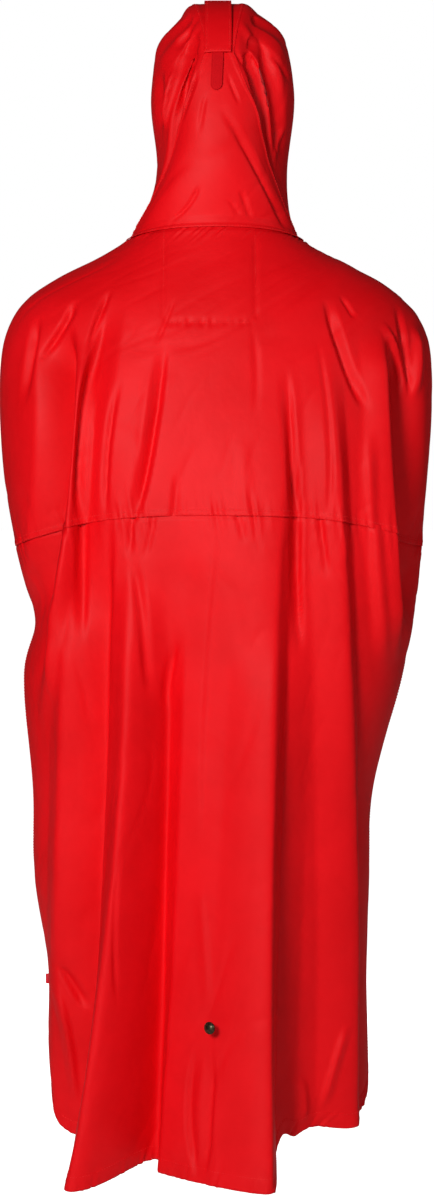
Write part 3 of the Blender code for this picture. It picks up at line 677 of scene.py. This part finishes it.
# The centre panel's left and right edges, as shares of the arches.
PanelEdge = namedtuple("PanelEdge", "name place left right")
PANEL_EDGES = (
    PanelEdge("face edge", 0.00, 0.090, 0.050),
    PanelEdge("below the strap", 4.25, 0.084, 0.048),
    PanelEdge("top of the fan", 4.50, 0.144, 0.107),
    PanelEdge("middle of the fan", 4.75, 0.244, 0.202),
    PanelEdge("back of head", 5.00, 0.410, 0.384),
    PanelEdge("behind the ears", 5.25, 0.545, 0.530),
    PanelEdge("below the ears", 5.60, 0.660, 0.650),
    PanelEdge("nape", 6.00, 0.740, 0.735),
    PanelEdge("neck seam", 7.00, 0.980, 0.980),
)
# Pleats fan out from the lower corners of the strap, given on the count of the arches and across them.
Pleat = namedtuple("Pleat", "name side arch1 across1 arch2 across2 depth reach")
PLEATS = (
    Pleat("left seam pleat", 1, 4.25, 0.20, 5.3, 0.84, -0.006, 0.30),
    Pleat("left middle pleat", 1, 3.95, 0.16, 4.6, 0.78, -0.006, 0.36),
    Pleat("left front pleat", 1, 3.30, 0.18, 2.9, 0.62, -0.005, 0.40),
    Pleat("right seam pleat", -1, 4.30, 0.18, 5.3, 0.84, -0.006, 0.30),
    Pleat("right middle pleat", -1, 3.90, 0.20, 4.4, 0.80, -0.005, 0.40),
    Pleat("right front pleat", -1, 3.20, 0.18, 2.7, 0.66, -0.005, 0.40),
)
PLEAT_SPREAD = 3.0  # arches that are as far apart as the top and the foot of one arch
SHORT_OF_FOOT = 0.97  # at the very feet of the arches the hood has no clear normal
HOOD_STEP = 0.001257  # of one pixel of the photo, at the back of the hood
HOOD_CREASES = in_metres(Crease, 7, 11, (
    ("left gather 1", 196, 40, 183, 74, 176, 120, -5, -5, 5, 5, 0.8),
    ("left gather 2", 176, 56, 168, 85, 165, 128, 8, 8, 5, 6, 0.7),
    ("left gather 3", 160, 60, 158, 90, 160, 130, -6, -5, 8, 7, 0.5),
    ("left gather 4", 206, 20, 190, 34, 180, 54, -4, -3, 5, 6, 0.8),
    ("left gather 5", 206, 6, 188, 20, 170, 44, -4, -4, 5, 7, 0.8),
    ("left gather 6", 196, 8, 180, 20, 166, 36, 3, 3, 5, 5, 0.7),
    ("beside the left seam", 198, 66, 189, 92, 177, 124, -4, -4, 4, 7, 0.7),
    ("right gather 1", 233, 46, 242, 60, 254, 76, -5, -3, 4, 4, 0.8),
    ("right gather 2", 244, 56, 249, 70, 254, 92, -4, -3, 3, 5, 0.8),
    ("right bulge", 240, 12, 256, 34, 262, 74, 5, 4, 14, 6, 0.6),
    ("right hollow", 262, 20, 272, 70, 280, 165, -6, -8, 10, 12, 0.4),
    ("right bright line", 286, 118, 280, 138, 276, 156, 4, 3, 4, 4, 0.8),
    ("right slanted line", 262, 32, 277, 52, 291, 78, -3, -3, 5, 5, 0.7),
    ("long slanted crease", 218, 106, 246, 150, 292, 238, -5, -7, 5, 12, 0.9),
    ("right facet", 254, 154, 266, 178, 280, 205, 2, 3, 8, 8, 0.5),
    ("left foot crease", 198, 184, 190, 202, 170, 221, -3, -3, 4, 5, 0.8),
    ("right foot crease", 240, 188, 246, 204, 251, 220, -4, -3, 4, 5, 0.8),
    ("second foot crease", 229, 198, 234, 206, 240, 216, -2, -2, 4, 4, 0.7),
    ("left faint line", 206, 92, 202, 112, 199, 136, -2, -1, 5, 6, 0.4),
    ("right faint line", 226, 74, 232, 86, 238, 104, -2, -2, 4, 5, 0.6),
))
HOOD_ROWS = 160
CENTRE_COLUMNS = 96
SIDE_COLUMNS = 124
TUCK = 0.014  # how far a side panel runs in under the centre panel, as a share of the arch
BRIM_WIDTH = 0.022  # of the tunnel round the face
BRIM_LIFT = 0.0008
SEAM_HOLLOW = 0.0110  # the side panels sink in beside the seams of the centre panel
HOLLOW_MIDDLE, HOLLOW_END = 0.030, 0.050  # they are deepest between these distances from the seam
NECK_LAPS = np.array([0.05, 0.10, 0.15])  # rows of the hood that lie on the yokes, on the count of rings
NECK_LIFT = 0.0012  # the hood's turned edge stands this far off them
NECK_TURNING = 0.008


def arched(place, across):
    """Points of the hood's arches, whose last one comes close to the neck seam."""
    arch = between_rows(ARCHES, place)
    foot = plain_body(np.zeros(np.shape(across)), np.sign(across) * np.radians(arch.foot_angle))
    turn = (1 - np.abs(across)) * math.pi / 2
    rise = signed_power(np.sin(turn), 2 / arch.square)
    reach = np.clip(np.cos(turn), 0, 1) ** (2 / arch.square)
    y = foot[..., 1] + (arch.top_y - foot[..., 1]) * rise
    z = foot[..., 2] + (arch.top_z - foot[..., 2]) * rise
    half_width = arch.half_width * (1 - WAIST + WAIST * smooth((z - WAIST_TOP) / WAIST_FADE))
    low = np.clip(1 - (z - foot[..., 2]) / FLARE_HEIGHT, 0, 1) ** 2
    flare = (np.abs(foot[..., 0]) - half_width) * low * smooth(np.abs(across) / 0.4)
    x = np.sign(across) * (half_width * reach + flare) + arch.lean * (1 - low)
    return np.stack(np.broadcast_arrays(x, y, z), axis=-1)


def plain_hood(place, across):
    """The hood without pleats. place counts the arches, and across goes from -1, right, to 1, left."""
    neck = plain_body(np.zeros(np.shape(across)), across * math.pi / 2)
    settle = smooth(np.asarray(place) - LAST_ARCH + 1)[..., None]
    return arched(place, across) + settle * (neck - arched(np.full(np.shape(across), LAST_ARCH), across))


def pleat_height(place, across):
    """How far the pleats push the hood in. They are narrow at the strap and wider lower down."""
    height = np.zeros(np.shape(across))
    for pleat in PLEATS:
        start = np.array([pleat.arch1, pleat.across1 * PLEAT_SPREAD])
        line = np.array([pleat.arch2, pleat.across2 * PLEAT_SPREAD]) - start
        here = np.stack(np.broadcast_arrays(place, across * pleat.side * PLEAT_SPREAD), axis=-1) - start
        run = np.clip(here @ line / (line @ line), 0, 1)
        gap = np.linalg.norm(here - run[..., None] * line, axis=-1)
        flank = np.clip(gap / (pleat.reach * (0.5 + run)), 0, 1)
        height += pleat.depth * smooth((1 - run) / 0.5) * (0.5 + 0.5 * np.cos(np.pi * flank))
    return height


def hood(place, across):
    """The hood with its pleats."""
    point = plain_hood(place, across)
    normal = outward(plain_hood, place, across * SHORT_OF_FOOT)
    return point + pleat_height(place, across)[..., None] * normal


def hood_sheet(part, columns):
    """Points of the hood's centre panel (part 0), left side (part 1) or right side (-1)."""
    places = LAST_ARCH * close_at_ends(HOOD_ROWS)
    table = np.array([edge[1:] for edge in PANEL_EDGES])
    left, right = (np.interp(places, table[:, 0], table[:, column]) for column in (1, 2))
    foot = np.ones(HOOD_ROWS)
    first, last = {0: (-right, left), 1: (left - TUCK, foot), -1: (-foot, TUCK - right)}[part]
    turns = even_turns(hood, places, first, last, np.zeros(HOOD_ROWS), columns)
    lap = plain_body(np.repeat(NECK_LAPS[:, None], columns, axis=1), turns[-1] * math.pi / 2)
    return np.concatenate((hood(np.repeat(places[:, None], columns, axis=1), turns), lap))


hood_sides = []
for part, name, columns in (
    (0, "hood_center", CENTRE_COLUMNS),
    (1, "hood_left", SIDE_COLUMNS),
    (-1, "hood_right", SIDE_COLUMNS),
):
    points = hood_sheet(part, columns)
    edge = edge_distances(points)
    height = creases(points, on_photo(HOOD_CREASES, HOOD_STEP)) + slack(edge, 0.0012, 71 + part)
    height *= smooth(edge.bottom / NECK_CALM)
    height += puckers(edge.left, edge.bottom, 0.0006, 0.014, part)
    height += NECK_LIFT * smooth(2 - edge.bottom / NECK_TURNING)
    height += turned_hem(edge.top, BRIM_WIDTH, BRIM_LIFT)
    height += puckers(edge.left, edge.top, 0.0012, 0.018, 1 + part)
    if part == 0:
        seam = np.minimum(edge.left, edge.right)
        height += LAP_LIFT * smooth(2 * (1 - seam / TURNING)) + puckers(edge.top, seam, 0.0008, 0.008)
        hood_center = finish_cloth(name + "_cloth", name, points, height)
        continue
    seam, foot = (edge.right, edge.left) if part == 1 else (edge.left, edge.right)
    height -= CLOTH_THICKNESS * smooth(1.5 - seam / TUCK_FADE)
    height -= SEAM_HOLLOW * smooth(seam / HOLLOW_MIDDLE) * smooth(1.7 - seam / HOLLOW_END)
    height += puckers(edge.top, seam, 0.0010, 0.010) + puckers(edge.top, foot, 0.0010, 0.010, 4.0)
    hood_sides.append(finish_cloth(name + "_cloth", name, points, height))
hood_left, hood_right = hood_sides

# ---------------------------------------------------------------------------------------------------
# The strap over the crown, which draws the hood in to fit the head, and the narrow matt strip below it
# that it fastens on. Both are bands of doubled cloth, sewn down along the middle of the hood.
TRIM_RED = (0.60, 0.002, 0.006, 1.0)
TRIM_DEEP_RED = (0.54, 0.002, 0.005, 1.0)
STRAP_WIDTH = 0.034
STRAP_START = 1.2  # on the count of arches
STRAP_END = 4.27
STRAP_SHIFT = 0.0055  # the strap lies this far left of the middle of the hood
STRAP_WALL = 0.0016
LOOP_WIDTH = 0.0145
LOOP_LENGTH = 0.050
LOOP_WALL = 0.0010
ROUND_SHARE = 0.16  # share of the loop strip that its round end takes
NARROWEST = 0.2  # of its width is left at the tip of the round end
TRIM_LIFT = 0.0003
STRAP_STITCH = 0.0030  # distance of the stitches from the strap's edges
LOOP_STITCH = 0.0018
TRIM_COLUMNS = 25


def middle_place(start, distance):
    """The place on the hood's middle line that lies a distance behind another."""
    fine = np.linspace(start, LAST_ARCH, FINE)
    run = runs(hood(fine, np.zeros(FINE))[:, None], 0)[:, 0]
    return float(np.interp(distance, run, fine))


def strip(first, last, width, rows, round_end):
    """Points of a band along the middle of the hood, with a square or a round lower end."""
    points = np.zeros((rows, TRIM_COLUMNS, 3))
    fine = np.linspace(-0.5, 0.5, FINE)
    for row, share in enumerate(np.linspace(0, 1, rows)):
        place = first + (last - first) * share
        x = hood(np.full(FINE, place), fine)[:, 0]
        half = width / 2
        if round_end:
            short = 1 - min((1 - share) / ROUND_SHARE, 1)
            half *= max(math.sqrt(1 - short**2), NARROWEST)
        wanted = np.interp(0.0, fine, x) + STRAP_SHIFT + np.linspace(-half, half, TRIM_COLUMNS)
        points[row] = hood(np.full(TRIM_COLUMNS, place), np.interp(wanted, x, fine))
    return points


def band_height(edge, height, depth, distance, reach):
    """How far a band stands off the hood, with a groove where it is sewn down near its border."""
    border = np.minimum(np.minimum(edge.left, edge.right), edge.bottom)
    return TRIM_LIFT + height - depth * np.exp(-(((border - distance) / reach) ** 2))


trim = make_cloth("matt red trim", TRIM_RED, TRIM_DEEP_RED, 0.70, 0.08, 0.2)

points = strip(STRAP_START, STRAP_END, STRAP_WIDTH, 120, False)
edge = edge_distances(points)
height = band_height(edge, STRAP_WALL + 0.0012, 0.0004, STRAP_STITCH, 0.0009)
height += puckers(edge.top, np.minimum(edge.left, edge.right), 0.0004, 0.006)
height += 0.0006 * smooth(1 - edge.bottom / 0.02)
hood_strap = finish_cloth("hood_strap_band", "hood_strap", points, height, thickness=STRAP_WALL)

points = strip(middle_place(STRAP_END, 0), middle_place(STRAP_END, LOOP_LENGTH), LOOP_WIDTH, 60, True)
height = band_height(edge_distances(points), LOOP_WALL + 0.0006, 0.0003, LOOP_STITCH, 0.0007)
hood_loop = finish_cloth("hood_loop_band", "hood_loop_strip", points, height, trim, LOOP_WALL)

# ---------------------------------------------------------------------------------------------------
# The seams are sewn with polyester thread. Its colour is a little lighter and pinker than the cloth's, a
# painted highlight for the pale rows along the puckered yoke seam. Each stitch is a short raised length of
# thread. The seam between yoke and panel has two rows, a hem has one.
THREAD_RED_WITH_HIGHLIGHT = (0.84, 0.035, 0.035, 1.0)
STITCH_LENGTH = 0.0031
STITCH_GAP = 0.0009
STITCH_RADIUS = 0.00040
YOKE_STITCH_ROWS = (0.0018, 0.0075)  # the distances of the two rows from the yoke's lower edge
HEM_STITCH = 0.0015  # from the upper edge of a turned hem
SIDE_STITCH = 0.010  # from the side edges, which are turned in
HOOD_STITCH = 0.0022  # from the side edges of the hood's centre panel
FOOT_STITCH = 0.0018  # from its lower edge
FIRST_STITCH = 0.002  # from the start of a seam
STITCH_SINK = 0.4  # a stitch stands out by this share of its radius

thread, tree, shader = start_material("thread", 0.55, Specular_IOR_Level=0.12)
# the thread's colour, lighter than the cloth as a painted highlight, varies in patches towards the cloth's
# red
place = mottled(tree, shader, THREAD_RED_WITH_HIGHLIGHT, RED, 0.010)
twist = add_node(tree, "ShaderNodeTexNoise", Scale=2500.0, Detail=1.0)
tree.links.new(place, twist.inputs["Vector"])
tree.links.new(bump(tree, twist.outputs["Fac"], 0.0001, 0.5), shader.inputs["Normal"])


def sample(grid, row, column):
    """Values of a grid between its points."""
    row = np.clip(row, 0, grid.shape[0] - 1.001)
    column = np.clip(column, 0, grid.shape[1] - 1.001)
    near, aside = row.astype(int), column.astype(int)
    down, across = (row - near)[:, None], (column - aside)[:, None]
    upper = grid[near, aside] * (1 - across) + grid[near, aside + 1] * across
    lower = grid[near + 1, aside] * (1 - across) + grid[near + 1, aside + 1] * across
    return upper * (1 - down) + lower * down


def crossings(values, wanted, first, last):
    """Where the columns of a table reach a wanted value, for its columns from a first to a last share."""
    count = values.shape[1]
    columns = np.arange(round(first * (count - 1)), round(last * (count - 1)) + 1)
    rows = [np.interp(wanted, values[:, column], np.arange(len(values))) for column in columns]
    return np.array(rows), columns.astype(float)


def line_across(cloth, values, wanted, first=0.0, last=1.0):
    """A line over the columns of a cloth, where values that grow down the rows reach a wanted one."""
    rows, columns = crossings(values, wanted, first, last)
    return sample(cloth.points, rows, columns), sample(cloth.normals, rows, columns)


def line_down(cloth, values, wanted, first=0.0, last=1.0):
    """A line over the rows of a cloth, where values that grow along the columns reach a wanted one."""
    columns, rows = crossings(values.T, wanted, first, last)
    return sample(cloth.points, rows, columns), sample(cloth.normals, rows, columns)


def along_run(run, values, place):
    return np.array([np.interp(place, run, values[:, axis]) for axis in range(3)])


def sew(name, lines):
    """Stitches along lines, each of which is a pair of points and normals, as one piece."""
    mesh = bmesh.new()
    half = STITCH_LENGTH / 2
    for points, normals in lines:
        run = runs(points[:, None], 0)[:, 0]
        for start in np.arange(FIRST_STITCH, run[-1] - STITCH_LENGTH, STITCH_LENGTH + STITCH_GAP):
            first, last = (along_run(run, points, start + more) for more in (0.0, STITCH_LENGTH))
            up = Vector(along_run(run, normals, start)).normalized()
            along = Vector(last - first).normalized()
            across = up.cross(along).normalized()
            up = along.cross(across)
            middle = Vector((first + last) / 2) + up * STITCH_RADIUS * STITCH_SINK
            turn = Matrix((along * half, across * STITCH_RADIUS, up * STITCH_RADIUS)).transposed()
            made = bmesh.ops.create_icosphere(mesh, subdivisions=1, radius=1.0)
            bmesh.ops.transform(mesh, matrix=Matrix.Translation(middle) @ turn.to_4x4(), verts=made["verts"])
    piece = to_piece(to_data(name, mesh), thread)
    return piece


yoke_stitches = [
    sew(name, [line_across(cloth, -cloth.edge.bottom, -row) for row in YOKE_STITCH_ROWS])
    for name, cloth in (("back_yoke_stitches", back_yoke), ("front_yoke_stitches", front_yoke))
]
panel_stitches = [
    sew(name, [
        line_across(cloth, -cloth.edge.bottom, HEM_STITCH - HEM_WIDTH, 0.02, 0.98),
        line_down(cloth, cloth.edge.right, SIDE_STITCH, 0.02, 0.90),
        line_down(cloth, -cloth.edge.left, -SIDE_STITCH, 0.02, 0.90),
    ])
    for name, cloth in (("back_panel_stitches", back_panel), ("front_panel_stitches", front_panel))
]
hood_stitches = sew("hood_stitches", [
    line_down(hood_center, hood_center.edge.right, HOOD_STITCH),
    line_down(hood_center, -hood_center.edge.left, -HOOD_STITCH),
    *(line_across(cloth, cloth.edge.top, BRIM_WIDTH) for cloth in (hood_center, hood_left, hood_right)),
    line_across(hood_center, -hood_center.edge.bottom, -FOOT_STITCH),
])
strap_stitches = sew("strap_stitches", [
    line_down(hood_strap, hood_strap.edge.right, STRAP_STITCH),
    line_down(hood_strap, -hood_strap.edge.left, -STRAP_STITCH),
    line_across(hood_strap, -hood_strap.edge.bottom, -STRAP_STITCH, 0.08, 0.92),
])

# ---------------------------------------------------------------------------------------------------
# The inner pocket: a bag sewn inside the back yoke below the neck. Only the stitches that hold its sides
# and its lower edge show outside, and the lower ones pucker the cloth.
POCKET_ROWS = (0.02, 0.34)  # shares of the yoke's rows
POCKET_COLUMNS = (0.435, 0.585)  # shares of its columns

pocket_stitches = sew("pocket_stitches", [
    line_down(back_yoke, back_yoke.points[..., 0], POCKET_LEFT, *POCKET_ROWS),
    line_down(back_yoke, back_yoke.points[..., 0], POCKET_RIGHT, *POCKET_ROWS),
    line_across(back_yoke, -back_yoke.points[..., 2], -POCKET_BOTTOM, *POCKET_COLUMNS),
])

# ---------------------------------------------------------------------------------------------------
# A record for what each sheet was cut to, flat, in metres and square metres, which the script defines but
# doesn't fill in. The pieces are cut with curved edges, so they are smaller than the rectangles they are cut
# from.
Cut = namedtuple("Cut", "cloth width length area held rests_on stitches")

# ---------------------------------------------------------------------------------------------------
# The cap of a press stud, low on the middle of the back: pressed brass with a dark antique finish, worn
# lighter in patches. With its other half it holds the folded poncho shut.
CAP_RADIUS = 0.0077
CAP_HEIGHT = 0.0042
CAP_STEPS = 64
BRASS = (0.10, 0.085, 0.045, 1.0)
DARK_BRASS = (0.012, 0.010, 0.008, 1.0)
CapPoint = namedtuple("CapPoint", "name radius height")
CAP_PROFILE = (
    CapPoint("middle of foot", 0.00, 0.00),
    CapPoint("foot", 0.90, 0.00),
    CapPoint("rim foot", 0.985, 0.10),
    CapPoint("rim", 1.00, 0.28),
    CapPoint("rim top", 0.97, 0.48),
    CapPoint("rim roll", 0.92, 0.60),
    CapPoint("rim inside", 0.86, 0.60),
    CapPoint("groove", 0.80, 0.52),
    CapPoint("dome foot", 0.74, 0.60),
    CapPoint("dome side", 0.64, 0.78),
    CapPoint("dome shoulder", 0.46, 0.92),
    CapPoint("dome", 0.24, 0.99),
    CapPoint("dome top", 0.00, 1.00),
)

brass, tree, shader = start_material("dark antique brass", 0.34, Metallic=0.85)
place = mottled(tree, shader, BRASS, DARK_BRASS, 0.003)
grain = add_node(tree, "ShaderNodeTexNoise", Scale=900.0, Detail=2.0)
tree.links.new(place, grain.inputs["Vector"])
tree.links.new(bump(tree, grain.outputs["Fac"], 0.0001, 0.3), shader.inputs["Normal"])

low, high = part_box("snap_cap")
cap_middle = (low + high) / 2
nearest = np.unravel_index(
    np.argmin(np.linalg.norm(back_panel.points - np.array(cap_middle), axis=-1)), back_panel.points.shape[:2]
)
cap_normal = Vector(back_panel.normals[nearest])
cap_foot = cap_middle - cap_normal * CAP_HEIGHT / 2
mesh = bmesh.new()
profile = [mesh.verts.new((CAP_RADIUS * cap.radius, 0.0, CAP_HEIGHT * cap.height)) for cap in CAP_PROFILE]
outline = [mesh.edges.new(pair) for pair in zip(profile, profile[1:])]
bmesh.ops.spin(mesh, geom=profile + outline, cent=(0, 0, 0), axis=(0, 0, 1), angle=2 * math.pi,
               steps=CAP_STEPS, use_merge=True)
bmesh.ops.remove_doubles(mesh, verts=mesh.verts[:], dist=0.00002)
bmesh.ops.recalc_face_normals(mesh, faces=mesh.faces[:])
turn = Vector((0, 0, 1)).rotation_difference(cap_normal).to_matrix().to_4x4()
bmesh.ops.transform(mesh, matrix=Matrix.Translation(cap_foot) @ turn, verts=mesh.verts[:])
snap_cap = to_piece(to_data("snap_cap_brass", mesh), brass)
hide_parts("snap_cap")

# ---------------------------------------------------------------------------------------------------
# The side tab: a short woven ribbon, folded in half and sewn into the left side seam where the slit
# starts. It is plain.
TAB_RED = (0.62, 0.010, 0.045, 1.0)
ribbon = make_cloth("woven ribbon", TAB_RED, TRIM_RED, 0.6, 0.3, 0.1)
low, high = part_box("side_tab")
mesh = bmesh.new()
bmesh.ops.create_cube(mesh, size=1.0)
bmesh.ops.scale(mesh, vec=high - low, verts=mesh.verts[:])
bmesh.ops.bevel(mesh, geom=mesh.edges[:], offset=0.0006, offset_type="OFFSET", affect="EDGES",
                segments=4, profile=0.5, material=-1)
bmesh.ops.translate(mesh, vec=(low + high) / 2, verts=mesh.verts[:])
data = to_data("side_tab_ribbon", mesh)
data.uv_layers.new(name=CLOTH_UV)
side_tab = to_piece(data, ribbon)
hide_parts("side_tab")

# ---------------------------------------------------------------------------------------------------
# The studio: a pale floor below the poncho, which hangs as high as its wearer would carry it, a white
# surround, one soft light left of the camera, a weaker one on the right and one on the poncho's front
# side. The floor looks pure white to the camera, but it sends no more light to the cloth for that.
FLOOR_Z = -1.50
FLOOR_RADIUS = 60.0
PALE = (0.93, 0.93, 0.93, 1.0)
LESS_PALE = (0.90, 0.90, 0.90, 1.0)
CAMERA_PLACE = (0.0, 3.5, LEVEL_Z)
IMAGE_HEIGHT = 1200
PIXELS_PER_SLOPE = 2704  # an offset of 1 m at a distance of 1 m covers this many pixels
SENSOR = 36.0
LIT_PLACE = Vector((0, 0, -0.4))  # all the lights point at it

mesh = bmesh.new()
bmesh.ops.create_circle(mesh, cap_ends=True, segments=96, radius=FLOOR_RADIUS)
bmesh.ops.translate(mesh, vec=(0, 0, FLOOR_Z), verts=mesh.verts[:])
data = to_data("floor", mesh)
pale, tree, shader = start_material("pale floor", 0.9, Specular_IOR_Level=0.0)
mottled(tree, shader, PALE, LESS_PALE, 0.8)
seen = tree.nodes.new("ShaderNodeLightPath")
tree.links.new(seen.outputs["Is Camera Ray"], shader.inputs["Emission Strength"])
shader.inputs["Emission Color"].default_value = (1.0, 1.0, 1.0, 1.0)
to_object(data, pale)

world = bpy.data.worlds.new("white surround")
bpy.context.scene.world = world
world.use_nodes = True
tree = world.node_tree
seen = tree.nodes["Background"]
seen.inputs["Color"].default_value = (1.0, 1.0, 1.0, 1.0)
lighting = add_node(tree, "ShaderNodeBackground", Color=(1.0, 0.98, 0.97, 1.0), Strength=0.06)
ray = tree.nodes.new("ShaderNodeLightPath")
choose = tree.nodes.new("ShaderNodeMixShader")
tree.links.new(ray.outputs["Is Camera Ray"], choose.inputs["Fac"])
tree.links.new(lighting.outputs["Background"], choose.inputs[1])
tree.links.new(seen.outputs["Background"], choose.inputs[2])
tree.links.new(choose.outputs["Shader"], tree.nodes["World Output"].inputs["Surface"])

SoftLight = namedtuple("SoftLight", "name x y z size power")
for light in (
    SoftLight("key", 1.05, 3.1, 0.35, 0.8, 90.0),
    SoftLight("right", -2.7, 1.7, 0.8, 1.2, 14.0),
    SoftLight("front", 0.0, -3.4, -0.3, 1.6, 24.0),
):
    lamp = bpy.data.lights.new(light.name, "AREA")
    lamp.shape = "DISK"
    lamp.size = light.size
    lamp.energy = light.power
    holder = to_object(lamp)
    holder.location = (light.x, light.y, light.z)
    holder.rotation_euler = (LIT_PLACE - holder.location).to_track_quat("-Z", "Y").to_euler()

view = bpy.data.cameras.new("camera")
view.sensor_width = SENSOR
view.lens = SENSOR * PIXELS_PER_SLOPE / IMAGE_HEIGHT
view.shift_y = (PHOTO_LEVEL - IMAGE_HEIGHT / 2) / IMAGE_HEIGHT
camera = to_object(view)
camera.location = CAMERA_PLACE
camera.rotation_euler = (math.pi / 2, 0.0, math.pi)
bpy.context.scene.camera = camera
bpy.context.scene.view_settings.view_transform = "Standard"
